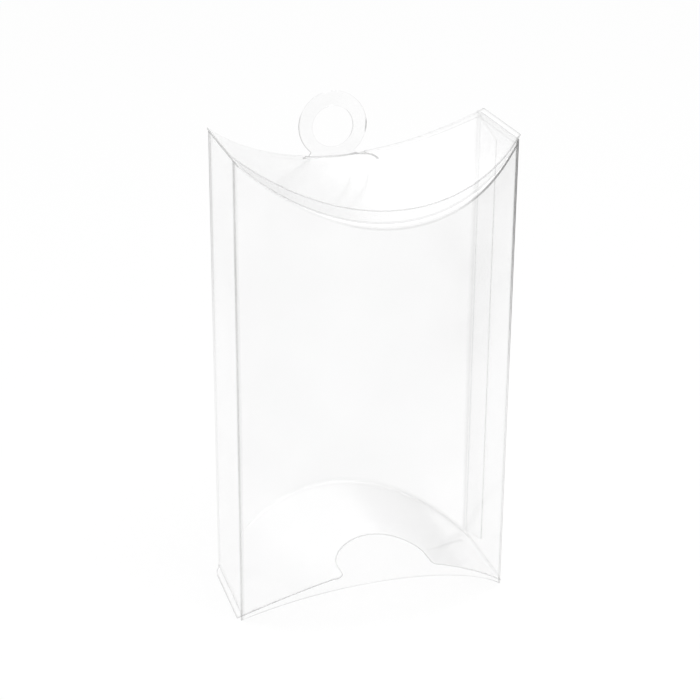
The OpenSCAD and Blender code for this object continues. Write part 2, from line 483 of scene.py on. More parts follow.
def walk(mesh, seeds):
    """Distance over the sheet's edges from the seeds, and the number of the nearest seed."""
    reach = {v: (0.0, v) for v in seeds}
    line = [(0.0, v, v) for v in seeds]
    heapq.heapify(line)
    while line:
        far, spot, seed = heapq.heappop(line)
        if far > reach[spot][0] or far > walk_limit:
            continue
        vertex = mesh.verts[spot]
        for edge in vertex.link_edges:
            other = edge.other_vert(vertex)
            total = far + edge.calc_length()
            if other.index not in reach or total < reach[other.index][0]:
                reach[other.index] = (total, seed)
                heapq.heappush(line, (total, other.index, seed))
    return reach


def measured(mesh, marks):
    """The six values of every point, walked from the marked points where the sheet brings none."""
    count = len(mesh.verts)
    if marks["cut"][0] >= 0.0:
        return {label: marks[label] for label in ("fold", "cut", "crease", "soft", "rim", "haze_and_reflection")}
    cut = walk(mesh, [v.index for v in mesh.verts if v.is_boundary and not marks["seam"][v.index]])
    fold = walk(mesh, [i for i in range(count) if marks["crease"][i] or marks["soft"][i]])
    found = {"cut": [cut.get(i, (far_off, 0))[0] for i in range(count)],
             "fold": [fold.get(i, (far_off, 0))[0] for i in range(count)], "haze_and_reflection": marks["haze_and_reflection"]}
    for label, reach in (("rim", cut), ("crease", fold), ("soft", fold)):
        found[label] = [marks[label][reach[i][1]] if i in reach else 0.0 for i in range(count)]
    return found


print("measures are walked up to", walk_limit, "mm")

# %% [markdown]
# A finished piece is a plain mesh. The sheet is built in millimetres, welded where two grids meet,
# measured, and brought to metres. The tree then thickens it as a modifier, and the result is kept
# as the piece's own mesh, so that nothing has to be worked out again later.

# %% From a sheet to a finished piece
weld_reach, seam_limit = 1e-4, 0.05


def film_piece(name, sheet, replaced):
    """Welds a sheet, stores its measures, gives it its thickness and makes it a piece."""
    mesh = bmesh.new()
    layers = {label: mesh.verts.layers.float.new(label) for label in sheet.marks[0]}
    for point, values in zip(sheet.points, sheet.marks):
        vertex = mesh.verts.new(point)
        for label, value in values.items():
            vertex[layers[label]] = value
    mesh.verts.ensure_lookup_table()
    for face in sheet.faces:
        mesh.faces.new([mesh.verts[spot] for spot in face])
    bmesh.ops.remove_doubles(mesh, verts=mesh.verts, dist=weld_reach)
    mesh.verts.ensure_lookup_table()
    mesh.verts.index_update()
    marks = {label: [v[layer] for v in mesh.verts] for label, layer in layers.items()}
    found = measured(mesh, marks)
    for label in sheet.marks[0]:
        mesh.verts.layers.float.remove(mesh.verts.layers.float[label])
    mesh.normal_update()
    bmesh.ops.scale(mesh, vec=(MM, MM, MM), verts=mesh.verts)
    data = bpy.data.meshes.new(name + " sheet")
    mesh.to_mesh(data)
    mesh.free()
    data.materials.append(clear_film)
    for label, values in found.items():
        data.attributes.new(label, "FLOAT", "POINT").data.foreach_set("value", values)

    piece = bpy.data.objects.new(name, data)
    bpy.context.scene.collection.objects.link(piece)
    thick = piece.modifiers.new("thickness", "NODES")
    thick.node_group = film_tree
    thick[film_inputs["Thickness"]] = film * MM
    thick[film_inputs["Seam limit"]] = seam_limit
    thick[film_inputs["Film"]] = clear_film
    thick[film_inputs["Cut edge"]] = cut_edge
    seen = piece.evaluated_get(bpy.context.evaluated_depsgraph_get())
    finished = bpy.data.meshes.new_from_object(seen)
    finished.name = name
    piece.modifiers.clear()
    piece.data = finished
    bpy.data.meshes.remove(data)
    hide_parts(replaced)
    print(name, len(finished.polygons), "faces,", "materials", [m.name for m in finished.materials])
    return piece


print("film is", film, "mm thick")

# %% [markdown]
# ## The sleeve
# The four panels are one strip that runs round the box. It starts at the right side panel's rear
# edge, turns the front corner, crosses the bulging front, and so on to the glue tab, which lies
# inside the right side panel. The strip is written as a list of stations seen from above. Each
# corner is a small bend of 0.7 mm radius, as film never folds to a knife edge.
#
# The front panel, the hanger flap and the neck of the ring hang together, so they share their
# columns: close ones over the foot of the neck, and wider ones beside it.

# %% Stations round the box
corner_radius, corner_steps = 0.7, 4
bow_radius = arc_radius(half_width, panel_bow)
corner_turn = math.radians(90) - math.asin(half_width / bow_radius)
setback = corner_radius * math.tan(corner_turn / 2)
hanger_inset, tab_clearance = 0.6, 0.02
hanger_half = half_width - film - hanger_inset
tab_x = half_width - film - tab_clearance
ring_x, neck_half, foot_half = 0.2, 5.85, 8.2


def corner_bend(sign_x, sign_y):
    """Stations round one corner, from the side panel to the big panel."""
    middle_x = half_width - corner_radius
    middle_y = half_depth - setback
    stations = []
    for angle in spread(0.0, corner_turn, corner_steps):
        stations.append((sign_x * (middle_x + corner_radius * math.cos(angle)),
                         sign_y * (middle_y + corner_radius * math.sin(angle))))
    return stations


front_columns = sorted(set(
    spread(-hanger_half, ring_x - foot_half, 24)
    + spread(ring_x - foot_half, ring_x + foot_half, 14)
    + spread(ring_x + foot_half, hanger_half, 24)))
print("front panel has", len(front_columns), "columns")
print("a corner turns", round(math.degrees(corner_turn), 1), "degrees")

# %% [markdown]
# Every station knows how low and how high its panel reaches. The front panel's foot and the back
# panel's foot follow the bottom arc, and the side panels stop short of it. At the top the front
# panel ends where its rounded fold to the hanger flap begins. That fold is softest at the middle,
# where the film is pulled hardest, so its radius shrinks towards the corners.

# %% Reach of each panel
side_foot, side_top = 2.1, height - 0.4
stack_gap, flap_gap, bend_radius, seam_gap = 0.3, 0.1, 0.7, 0.02
slit_start, slit_stop = -6.9, 8.6
bottom_half, top_half = half_width + 0.6, half_width + 0.3
soft_x, soft_left, soft_right = 2.0, 31.0, 33.0
sharp_fold, soft_fold = 0.5, 1.4


def on_hanger(x):
    return abs(x) <= hanger_half + 1e-6


def in_slit(x):
    return slit_start - 0.01 <= x <= slit_stop + 0.01


def fold_radius(x):
    """Radius of the front fold, which is softest a little right of its middle."""
    off_middle = (soft_x - x) / soft_left if x < soft_x else ((x - soft_x) / soft_right) ** 2
    return max(sharp_fold, soft_fold * (1 - off_middle ** 2))


def flap_top(x):
    """Upper face of the top flap at its fold."""
    r = dip_radius - flap_gap
    slope = math.sqrt(r * r - x * x)
    return dip_axis - slope + film * r / slope


def front_reach(x):
    low = arc(min(abs(x), half_width), half_width, bottom_rise)
    high = dip_height(x, stack_gap)
    return low, high - fold_radius(x) if on_hanger(x) else high


def back_reach(x):
    low = arc(x, bottom_half, bottom_rise) + bend_radius + seam_gap
    if in_slit(x):
        return low, dip_height(x, 0.0) + flap_gap
    return low, flap_top(x) - bend_radius - seam_gap


def close_rows(low, high, steps=10):
    """Heights from low to high that lie closer together near both ends, where the marks are."""
    near = [0.0, 0.25, 0.7, 1.6, 4.0]
    middle = spread(low + near[-1], high - near[-1], steps)[1:-1]
    return [low + n for n in near] + middle + [high - n for n in reversed(near)]


print("front fold's radius at the left, the middle and the right:",
      [round(fold_radius(x), 2) for x in (-hanger_half, soft_x, hanger_half)])

# %% [markdown]
# Each corner's fold shows as a fine dark line and a soft band, partly stressed film and partly
# painted shade and reflection of the rounded bend. The front right corner's line is darkest near the
# top, the rear right corner only has a soft band, and the other two lie between. Each rule gives the
# fine line and the soft band at a height, as shares of the light that they take away.

# %% Marks of the sleeve's folds
corner_marks = {
    "front right": lambda z: (0.35 + 0.6 * swell(z, 50, 100), 0.06 + 0.38 * swell(z, 62, 110)),
    "front left": lambda z: (0.18 + 0.08 * swell(z, 20, 100), 0.08),
    "rear left": lambda z: (0.1 + 0.15 * swell(z, 50, 110), 0.08 + 0.2 * swell(z, 50, 110)),
    "rear right": lambda z: (0.0, 0.075),
}


def upper_fold_mark(x):
    """Painted shade along the edge of the bend, where the front panel's rounded fold meets the hanger flap.
    """
    return (0.24 + 0.26 * swell(x, -14, -24) - 0.14 * swell(x, -15, 10)) * swell(x, -34.5, -32)


def lower_fold_mark(x):
    """Where the front panel begins to round over: painted shade along the edge of the bend, darkest at the
    right end.
    """
    return 0.03 * swell(x, -34.5, -32) + 0.05 * swell(x, -16, -8) + 0.7 * swell(x, 14, 32)


def back_fold_mark(x, at_top):
    """The fine line and the soft band where the back panel folds into an outer flap, partly painted shade
    and reflection of the bend.
    """
    if at_top:
        return 0.05, 0.02
    return 0.03 * swell(x, 12, 26), 0.025 * swell(x, -18, -8) + 0.05 * swell(x, 8, 26)


for corner, rule in corner_marks.items():
    print(corner, "line and band, foot then top:",
          [round(mark, 2) for z in (0.0, height) for mark in rule(z)])

# %% [markdown]
# Cut edges show plainest at the left and at the lower right corner, partly as painted reflection.
# The film's grey isn't even either: its own haze is mixed with painted reflection, which is greyest
# at the upper right of the front and at the top of both sides.

# %% Marks of the sleeve's cut edges, and its haze and painted reflection
def sleeve_rim(x, y, at_top):
    """How plainly a cut edge shows. Every row above the foot counts as the top."""
    if (x < -33.5 or x > 34.4) and y < -12.6:
        return 0.5 if at_top else 0.4
    if y < -half_depth - 0.1:
        return 1.5 if at_top else 0.6 + 0.6 * swell(x, -5, -30) + 2.0 * swell(x, 28, 34)
    return (1.5 if at_top else 1.0) if x < 0 else (0.7 if at_top else 0.5)


def sleeve_haze_and_reflection(x, y, z):
    """Haze with painted reflection: greyest at the upper right of the front and at the top of both sides."""
    if y < -half_depth:
        return 0.4 + 0.6 * swell(z, 25, 65) + 2.4 * swell(x, 0, 25) * swell(z, 60, 85)
    if x == tab_x:
        return 0.3
    if x < corner_radius - half_width:
        return 1.0 + swell(z, 70, 105)
    if x > half_width - corner_radius:
        return 0.5 + 3.0 * swell(z, 100, 112) + swell(y, 2, -2) * swell(z, 60, 100)
    return 0.9


print("haze at the front's upper right", round(sleeve_haze_and_reflection(30.0, -20.0, 90.0), 2),
      "and at its lower left", round(sleeve_haze_and_reflection(-30.0, -20.0, 20.0), 2))

# %% [markdown]
# Each station is written as x, y, the heights of its foot and top, and the name of the corner whose
# mark it carries. First come the right side panel, the front right corner, the front panel, the
# front left corner and the left side panel. Stations lie close beside a corner, because its marks
# fade within a millimetre or two.

# %% Stations of the side panels and the front
strip = []
corner_middle, side_end = corner_steps // 2, 12.5
side_rows = spread(-12.0, 12.0, 6)
front_end = 34.45


def front_corner(stations, corner, marked):
    for spot, (x, y) in enumerate(stations):
        kept = max(-half_width, min(half_width, x))
        strip.append((x, y, front_reach(kept)[0], dip_height(kept, stack_gap),
                      corner if spot in marked else ""))


for y in [half_depth - 0.1, 12.7, *reversed(side_rows), -side_end]:
    strip.append((half_width, y, side_foot, side_top, ""))
front_corner(corner_bend(1, -1), "front right", (1, 2, 3))
for x in [front_end, *reversed(front_columns), -front_end]:
    strip.append((x, -back_face(x), *front_reach(x), ""))
front_corner(reversed(corner_bend(-1, -1)), "front left", (corner_middle,))
for y in [-side_end, *side_rows, side_end]:
    strip.append((-half_width, y, side_foot, side_top, ""))
print("strip has", len(strip), "stations up to the rear left corner")

# %% [markdown]
# At the two rear corners the foot and the top pass smoothly from one panel's reach to the next. The
# glue tab narrows towards its free end, as such tabs do, so that it slides in without catching.

# %% Stations of the back and the glue tab
back_left, back_right, beside_slit = -34.3, 33.9, 0.15
tab_width, tab_foot, tab_top, tab_narrows = 12.5, 2.7, side_top - 0.6, 3.5

for spot, (x, y) in enumerate(corner_bend(-1, 1)):
    low, high = back_reach(x)
    share = spot / corner_steps
    strip.append((x, y, side_foot + (low - side_foot) * share, side_top + (high - side_top) * share,
                  "rear left" if spot == corner_middle else ""))
back_columns = sorted(
    spread(back_left, slit_start - beside_slit, 22) + spread(slit_start, slit_stop, 14)
    + spread(slit_stop + beside_slit, back_right, 22))
for x in back_columns:
    strip.append((x, back_face(x), *back_reach(x), ""))
tab_corner_y = back_face(tab_x)
tab_turn = math.radians(90) - math.asin(tab_x / bow_radius)
tab_start = tab_corner_y - corner_radius * math.tan(tab_turn / 2)
tab_end = half_depth - tab_width
for spot, angle in enumerate(spread(tab_turn, 0.0, corner_steps)):
    x = tab_x - corner_radius + corner_radius * math.cos(angle)
    y = tab_start + corner_radius * math.sin(angle)
    low, high = back_reach(x)
    strip.append((x, y, low + (tab_foot - low) * spot / corner_steps,
                  high + (tab_top - high) * spot / corner_steps,
                  "rear right" if spot == corner_middle else ""))
for y in [*spread(tab_start, tab_end + 0.5, 7)[1:], tab_end]:
    taper = tab_narrows * (tab_start - y) / (tab_start - tab_end)
    strip.append((tab_x, y, tab_foot + taper, tab_top - taper, ""))
print("strip has", len(strip), "stations in all")

# %% [markdown]
# The strip itself is then a grid: one line of points for each station, from foot to top. Each point
# takes the marks of the fold or the edge that runs through it.

# %% Lay out the strip of panels
sleeve = Sheet()
lines = []
for x, y, low, high, corner in strip:
    on_back = y > 0 and abs(x) < 34.5
    line = []
    levels = close_rows(low, high)
    for row, z in enumerate(levels):
        at_top = row == len(levels) - 1
        end_row = at_top or row == 0
        seam = on_back and end_row and not (row and in_slit(x))
        crease, soft = corner_marks[corner](z) if corner else (0.0, 0.0)
        if seam:
            crease, soft = (mark / 2 for mark in back_fold_mark(x, at_top))
        if y < 0 and at_top and on_hanger(x):
            crease = lower_fold_mark(x)
        rim = sleeve_rim(x, y, bool(row))
        if x == tab_x:
            rim = 0.1 if end_row and y > tab_end else 0.5
        line.append(sleeve.add((x, y, z), crease, soft, rim, seam, haze_and_reflection=sleeve_haze_and_reflection(x, y, z)))
    lines.append(line)
sleeve.grid(lines)
print("sleeve has", len(sleeve.points), "points and", len(sleeve.faces), "faces")

# %% [markdown]
# ## Hanger flap and ring
# The front panel runs on over the rounded fold into the hanger flap, which lies just under the top
# flap. The flap uses the front panel's own columns, so that the two weld into one film.

# %% Lay out the hanger flap
neck_front, neck_bend, hanger_short = 26.8, 0.8, 1.0
ring_height, ring_radius = fold_height + 8.3, 8.95
hole_height, hole_radius = fold_height + 8.0, 5.3
neck_top = ring_height - math.sqrt(ring_radius ** 2 - neck_half ** 2)
hanger_haze_and_reflection, fold_steps = 0.4, 6


def hanger_end(x):
    """The free edge, just short of the back panel, and further forward where the neck turns up."""
    free = back_y - bow_radius + math.sqrt((bow_radius - film - hanger_short) ** 2 - x * x)
    return min(neck_front - neck_bend, free) if abs(x - ring_x) <= foot_half else free


hanger_lines = []
for x in reversed(front_columns):
    radius, top = fold_radius(x), dip_height(x, stack_gap)
    end_marks = {0: lower_fold_mark(x), fold_steps: upper_fold_mark(x)}
    line = []
    for step, angle in enumerate(spread(0.0, math.pi / 2, fold_steps)):
        line.append(sleeve.add((x, -back_face(x) + radius * (1 - math.cos(angle)),
                                top - radius * (1 - math.sin(angle))),
                               end_marks.get(step, 0.0), rim=0.4, haze_and_reflection=hanger_haze_and_reflection))
    for y in close_rows(-back_face(x) + radius, hanger_end(x), 8)[1:]:
        line.append(sleeve.add((x, y, top), rim=0.3, haze_and_reflection=hanger_haze_and_reflection))
    hanger_lines.append(line)
sleeve.grid(hanger_lines)
print("hanger flap has", len(hanger_lines), "columns")

# %% [markdown]
# The middle of the hanger flap's free edge turns up into the neck, which carries the hanging ring.
# It flares at its foot, where the die's cut runs out into the edge, and it has a fine crease of its
# own where it is bent up.

# %% Lay out the neck
flare_top, flare_height, flare_power = 109.3, 1.7, 1.6
neck_steps, crease_step = 5, 3


def neck_width(z):
    """Half the neck's width: it flares at its foot."""
    flare = max(0.0, (flare_top - z) / flare_height) ** flare_power
    return neck_half + (foot_half - neck_half) * flare


neck_columns = [x for x in front_columns if abs(x - ring_x) <= foot_half + 0.3]
neck_reach = neck_columns[-1] - ring_x
neck_lines = []
for x in reversed(neck_columns):
    share = (x - ring_x) / neck_reach
    base = dip_height(x, stack_gap)
    levels = [(neck_front - neck_bend * (1 - math.sin(a)), base + neck_bend * (1 - math.cos(a)))
              for a in spread(0.0, math.pi / 2, neck_steps)]
    levels += [(neck_front, z) for z in spread(base + neck_bend, neck_top, 3)[1:]]
    line = []
    for step, (y, z) in enumerate(levels):
        point = (ring_x + share * neck_width(z), y, z) if step else (x, hanger_end(x), z)
        # The bend's line and the left edge's line are partly painted shade and reflection.
        crease = 0.08 + 0.17 * swell(x, -3, 6) if step == crease_step else 0.0
        line.append(sleeve.add(point, crease, rim=2.0 if x < ring_x else 0.2, haze_and_reflection=0.7))
    neck_lines.append(line)
sleeve.grid(neck_lines)
print("neck", round(2 * neck_width(neck_top), 2), "mm wide, up to", round(neck_top, 2), "mm")

# %% [markdown]
# The ring is a fan of lines from its outline to the hole, so its edges are true circles. Its
# edges carry painted reflection: the left edge shows as a dark line, the right edge only as a short
# mark, and the rest hardly at all. The hole's edge shows, also as painted reflection, at its upper right.

# %% Marks of the ring
def outer_rim(angle):
    """How plainly the ring's outline shows at an angle in degrees from the right, upwards."""
    left = 2.0 * swell(angle, 150, 172) * swell(angle, 262, 240)
    mark = 4.0 * swell(abs((angle + 183) % 360 - 180), 12, 6)
    upper_right = 0.5 * swell(angle, 65, 30) * swell(angle, 0, 10)
    return 0.2 + left + mark + upper_right


def hole_rim(angle):
    return 0.15 + 1.2 * swell(abs((angle + 170) % 360 - 180), 50, 30)


def ring_haze_and_reflection(angle):
    """The ring's haze and painted reflection are faintest at its right."""
    return 0.3 + swell(abs((angle + 160) % 360 - 180), 30, 80)


print("the ring's outline shows", [round(outer_rim(angle), 2) for angle in range(0, 360, 45)],
      "every 45 degrees from the right, upwards")

# %% [markdown]
# The outline starts along the neck's upper edge, point for point with the neck's columns, and then
# goes round the circle back to it.

# %% Lay out the ring
def round_from(x, z, radius, angle):
    return x + radius * math.cos(angle), z + radius * math.sin(angle)


ring_outline = [(ring_x + (x - ring_x) / neck_reach * neck_width(neck_top), neck_top)
                for x in reversed(neck_columns)]
ring_start = math.atan2(neck_top - ring_height, -neck_half)
for angle in spread(ring_start, -3 * math.pi - ring_start, 60)[1:-1]:
    ring_outline.append(round_from(ring_x, ring_height, ring_radius, angle))
ring_lines = []
for x, z in ring_outline + ring_outline[:1]:
    angle = math.atan2(z - hole_height, x - ring_x)
    outer_angle = math.degrees(math.atan2(z - ring_height, x - ring_x)) % 360
    inner = round_from(ring_x, hole_height, hole_radius, angle)
    ring_lines.append([
        sleeve.add((x + (inner[0] - x) * t, neck_front, z + (inner[1] - z) * t),
                   rim=outer_rim(outer_angle) if t < 0.5 else hole_rim(math.degrees(angle) % 360),
                   haze_and_reflection=ring_haze_and_reflection(outer_angle))
        for t in (0.0, 0.1, 0.35, 0.65, 0.9, 1.0)])
sleeve.grid(ring_lines)
print("ring outline", len(ring_outline), "points")
sleeve_film = film_piece("sleeve_film", sleeve, "sleeve")
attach(sleeve_film, "sleeve")

# %% [markdown]
# ## Outer flaps
# The top flap and the bottom flap have curved outlines with a slit and a notch, which a plain grid
# can't follow. So each one is laid out flat, as its die would cut it: an outline, a field of
# points inside it, and a triangulation that keeps to the outline. The flat sheet is then bent into
# place, first round its fold and then along the flap's curved surface. On the flat layout x runs
# along the fold and w away from it.

# %% Flat layout of a flap
bend_length = bend_radius * math.pi / 2
beside_rim, beside_apart = 0.45, 0.3


def laid_flat(x, y):
    """Where a point seen from above lies on the flat sheet, measured from the fold."""
    depth = back_face(x) - y
    if depth < bend_radius:
        return x, bend_radius * math.acos(1 - max(0.0, depth) / bend_radius)
    return x, bend_length + depth - bend_radius


def inside(outline, x, w):
    hits = 0
    for (ax, aw), (bx, bw) in zip(outline, outline[1:] + outline[:1]):
        if (aw > w) != (bw > w) and x < ax + (w - aw) / (bw - aw) * (bx - ax):
            hits += 1
    return hits % 2 == 1


def beside(outline):
    """A second line of points just inside the outline, so that no triangle spans the rim alone."""
    line = []
    previous, following = outline[-1:] + outline[:-1], outline[1:] + outline[:1]
    for before, point, after in zip(previous, outline, following):
        along = Vector(after) - Vector(before)
        across = Vector((-along.y, along.x)).normalized() * beside_rim
        for side in (1, -1):
            spot = Vector(point) + across * side
            if inside(outline, *spot) and all((spot - p).length > beside_apart for p in line[-6:]):
                line.append(spot)
    return line


print("a fold takes", round(bend_length, 2), "mm of film")

# %% [markdown]
# The marks need to know how far each point is from the nearest cut, and from a crease where there
# is one. Both are given as chains of short straight pieces, and the distance to the nearest of them
# is exact, so a fine slit keeps a line of the same width all along.


# %% Distances on the flat layout
def as_segments(points):
    return [(*a, b[0] - a[0], b[1] - a[1], (b[0] - a[0]) ** 2 + (b[1] - a[1]) ** 2)
            for a, b in zip(points, points[1:])]


def from_segments(spot, segments):
    """Distance from a point to the nearest of many short straight pieces."""
    least = far_off
    for ax, aw, dx, dw, square in segments:
        px, pw = spot[0] - ax, spot[1] - aw
        t = min(1.0, max(0.0, (px * dx + pw * dw) / square))
        least = min(least, math.hypot(px - t * dx, pw - t * dw))
    return least


print("distances are found up to", far_off, "mm from a cut or a crease")

# %% [markdown]
# The field of points is staggered from row to row, which gives even triangles. Points that would
# fall too near the outline, its second line or the crease are left out, because they would make
# slivers. The last step turns the faces of the top flap, whose outer face looks the other way.

# %% From an outline to a sheet
across_field, field_half, field_stagger, field_rows = 1.22, 29, 0.3, 38
clear_of_rim, clear_of_fixed, crease_half = 0.35, 0.2, 0.5


def field(outline, fixed, reach):
    """Points inside an outline that keep clear of the fixed ones."""
    spots = []
    rows = [bend_length * share for share in (0.25, 0.5, 0.75, 1.0)]
    rows += spread(bend_length + 0.8, reach, field_rows)
    for row, w in enumerate(rows):
        for step in range(-field_half, field_half + 1):
            x = across_field * step + (field_stagger if row % 2 else -field_stagger)
            if inside(outline, x, w):
                spot = Vector((x, w))
                if min((spot - p).length_squared for p in fixed) > clear_of_fixed:
                    spots.append(spot)
    return spots


def flap_sheet(outline, place_on, is_seam, fold_mark, rim_mark, reach, turned, haze_and_reflection,
               stress=(), stress_mark=None):
    """Triangulates a flat outline, measures it and bends it into place."""
    rim = [Vector(p) for p in outline]
    second = beside(outline)
    if stress:
        across = (Vector(stress[-1]) - Vector(stress[0])).orthogonal().normalized() * crease_half
        second += [Vector(p) + across * side for p in stress for side in (-1.0, 0.0, 1.0)]
    second = [p for p in second if min((p - q).length for q in rim) > clear_of_rim]
    fixed = rim + second
    spots = fixed + field(outline, fixed, reach)
    points, _, faces, *_ = delaunay_2d_cdt(spots, [], [list(range(len(rim)))], 1, 1e-6)
    cuts = [cut for cut, a, b in zip(as_segments(rim + rim[:1]), rim, rim[1:] + rim[:1])
            if not (is_seam(*a) and is_seam(*b))]
    stressed = as_segments(stress)
    sheet = Sheet()
    for x, w in points:
        crease, soft = fold_mark(x)
        fold, strain = abs(w - bend_length / 2), from_segments((x, w), stressed)
        if stress and strain < fold:
            fold, (crease, soft) = strain, stress_mark(x)
        sheet.add(place_on(x, w), crease, soft, rim_mark(x, w), is_seam(x, w), fold,
                  from_segments((x, w), cuts), haze_and_reflection(x))
    for a, b, c in faces:
        sheet.faces.append((a, c, b) if turned else (a, b, c))
    return sheet


def closed(fold_line, half, free_edge):
    """Goes on from the fold line up the right side, along the free edge and down the left side."""
    reach = free_edge[0][1]
    right_side = [(half, w) for w in spread(0.0, reach, 24)[1:-1]]
    left_side = [(-half, w) for w in spread(reach, 0.0, 24)[1:-1]]
    return fold_line + right_side + free_edge + left_side


print("a flap's field is", 2 * field_half + 1, "by", field_rows + 5, "points before it is cut")

# %% [markdown]
# ### Top flap
# It folds forwards from the back panel. At the fold it follows the curved top, and its free edge
# dips a little less, so it stands up from the hanger flap at the middle of the front.

# %% Surface of the top flap
free_edge_dip = 11.2


def top_edge_y(x):
    return -half_depth - arc(x, half_width, panel_bow)


def top_place(x, w):
    crown = flap_top(x)
    if w < bend_length:
        angle = w / bend_radius
        return (x, back_face(x) - bend_radius * (1 - math.cos(angle)),
                crown - bend_radius * (1 - math.sin(angle)))
    y = back_face(x) - bend_radius - (w - bend_length)
    share = (back_face(x) - y) / (back_face(x) - top_edge_y(x))
    edge = flap_top(top_half) - arc(x, top_half, free_edge_dip)
    return x, y, crown + (edge - crown) * share


for where, x in (("corner", top_half), ("middle", 0.0)):
    print("top flap's fold and free edge at the", where,
          [round(top_place(x, w)[2], 2) for w in (bend_length, laid_flat(x, top_edge_y(x))[1])])

# %% [markdown]
# The ring stands up through the slit at the fold. The slit runs on at both ends as a fine cut that
# curls forwards, which keeps the film from tearing further. Each of these tails is a narrow loop in
# the outline, laid along a curve.

# %% Slit of the top flap
def tail(start, first, second, end, steps, half=0.14):
    """Outline of a fine cut along a curve: out along its left side and back along its right."""
    curve = interpolate_bezier(Vector(start), Vector(first), Vector(second), Vector(end), steps)
    out, home = [], []
    for spot, point in enumerate(curve):
        along = (curve[min(steps - 1, spot + 1)] - curve[max(0, spot - 1)]).normalized() * half
        out.append((point.x - along.y, point.y + along.x))
        home.append((point.x + along.y, point.y - along.x))
    return out + home[::-1]


slit_front = 3.0
slit_outline = [(slit_start, w) for w in (0.0, 0.6, 1.2)]
slit_outline += tail((-6.7, 1.7), (-7.1, 2.2), (-7.7, 2.9), (-8.3, 3.9), 6)
slit_outline += [(x, slit_front) for x in spread(-5.9, 4.6, 14)]
slit_outline += tail((5.4, 2.5), (8.8, 2.5), (9.6, 5.4), (9.3, 9.9), 20)
slit_outline += [(slit_stop, w) for w in (1.8, 0.9, 0.0)]
print("slit outline has", len(slit_outline), "points")


# %% Lay out the top flap
def top_seam(x, w):
    return w < 1e-4 and abs(x) <= 34.6 and not slit_start < x < slit_stop


def top_rim(x, w):
    """The slit's two tails show as dark lines, and the free edge is plainest at its right end."""
    if w > 10.5 or abs(x) > 12:
        return 0.9 + 0.4 * swell(x, 10, 30)
    if x > 6.0:
        return 0.8 + 0.7 * swell(w, 2.5, 6.0)
    return 0.8 if x < -6.5 else 0.4


top_fold_line = [(x, 0.0) for x in spread(-top_half, slit_start - 0.4, 34)] + slit_outline
top_fold_line += [(x, 0.0) for x in spread(slit_stop + 0.4, top_half, 32)]
top_free_edge = [laid_flat(x, top_edge_y(x)) for x in spread(top_half, -top_half, 76)]
top_outline = closed(top_fold_line, top_half, top_free_edge)
# The top flap's haze and painted reflection grow towards its right end.
top_sheet = flap_sheet(top_outline, top_place, top_seam, lambda x: back_fold_mark(x, True), top_rim,
                       55.0, True, lambda x: 0.4 + 1.4 * swell(x, 20, 32))
top_film = film_piece("top_flap_film", top_sheet, "top_flap")

# %% [markdown]
# ### Bottom flap
# It folds forwards under the box. Its free edge is lifted a little towards the middle, as the film
# springs back there.

# %% Surface of the bottom flap
edge_lift, lift_round, lift_power, edge_gap = 5.5, 8.0, 1.3, 0.8


def bottom_edge_y(x):
    return -back_face(x) + edge_gap


def bottom_place(x, w):
    fold = arc(x, bottom_half, bottom_rise)
    if w < bend_length:
        angle = w / bend_radius
        return (x, back_face(x) - bend_radius * (1 - math.cos(angle)),
                fold + bend_radius * (1 - math.sin(angle)))
    y = back_face(x) - bend_radius - (w - bend_length)
    share = (back_face(x) - y) / (back_face(x) - bottom_edge_y(x))
    lifted = 1 - math.hypot(x, lift_round) / math.hypot(bottom_half, lift_round)
    return x, y, fold + edge_lift * max(0.0, lifted) ** lift_power * share


lifted_middle = bottom_place(*laid_flat(0.0, bottom_edge_y(0.0)))[2] - bottom_rise
print("bottom flap's free edge is lifted", round(lifted_middle, 2), "mm at its middle")

# %% [markdown]
# The thumb notch is cut into the free edge so that a finger can pull the flap open: a half circle
# at its end, two straight sides, and a rounded mouth. Half of it is drawn and then mirrored.

# %% Thumb notch
notch_half, notch_depth, mouth_radius = 11.5, 18.5, 1.5
notch_end = bottom_edge_y(0.0) + notch_depth - notch_half
mouth_y = bottom_edge_y(notch_half)
half_notch = [(notch_half + mouth_radius * (1 - math.sin(a)),
               mouth_y + mouth_radius * (1 - math.cos(a))) for a in spread(0.0, math.pi / 2, 6)]
half_notch += [(notch_half, y) for y in spread(mouth_y + mouth_radius, notch_end, 5)[1:]]
half_notch += [(notch_half * math.cos(a), notch_end + notch_half * math.sin(a))
               for a in spread(0.0, math.pi / 2, 20)[1:]]
notch = half_notch + [(-x, y) for x, y in reversed(half_notch[:-1])]
print("notch", 2 * notch_half, "mm wide and", notch_depth, "mm deep")

# %% [markdown]
# Pulling on the notch has pressed a faint crease into the film, from the notch's right side to the
# rear corner. It is a line on the flat layout, and the flap gets points along it so that the
# triangles follow it.

# %% Lay out the bottom flap
mouth = notch_half + mouth_radius + 0.8
beside_notch = [(x, bottom_edge_y(x)) for x in spread(bottom_half, mouth, 24)]
across_notch = [(x, bottom_edge_y(x)) for x in spread(-mouth, -bottom_half, 24)]
bottom_free_edge = [laid_flat(*point) for point in beside_notch + notch + across_notch]
bottom_fold_line = [(x, 0.0) for x in spread(-bottom_half, bottom_half, 80)]
bottom_outline = closed(bottom_fold_line, bottom_half, bottom_free_edge)


def bottom_seam(x, w):
    return w < 1e-4 and abs(x) <= 34.9


def bottom_rim(x, w):
    return 0.6 + 0.5 * swell(x, 12, -12)


def pulled_mark(x):
    """The crease's fine line, which is plainer away from the notch, and its band."""
    return 0.02 + 0.05 * swell(x, 14, 22), 0.01


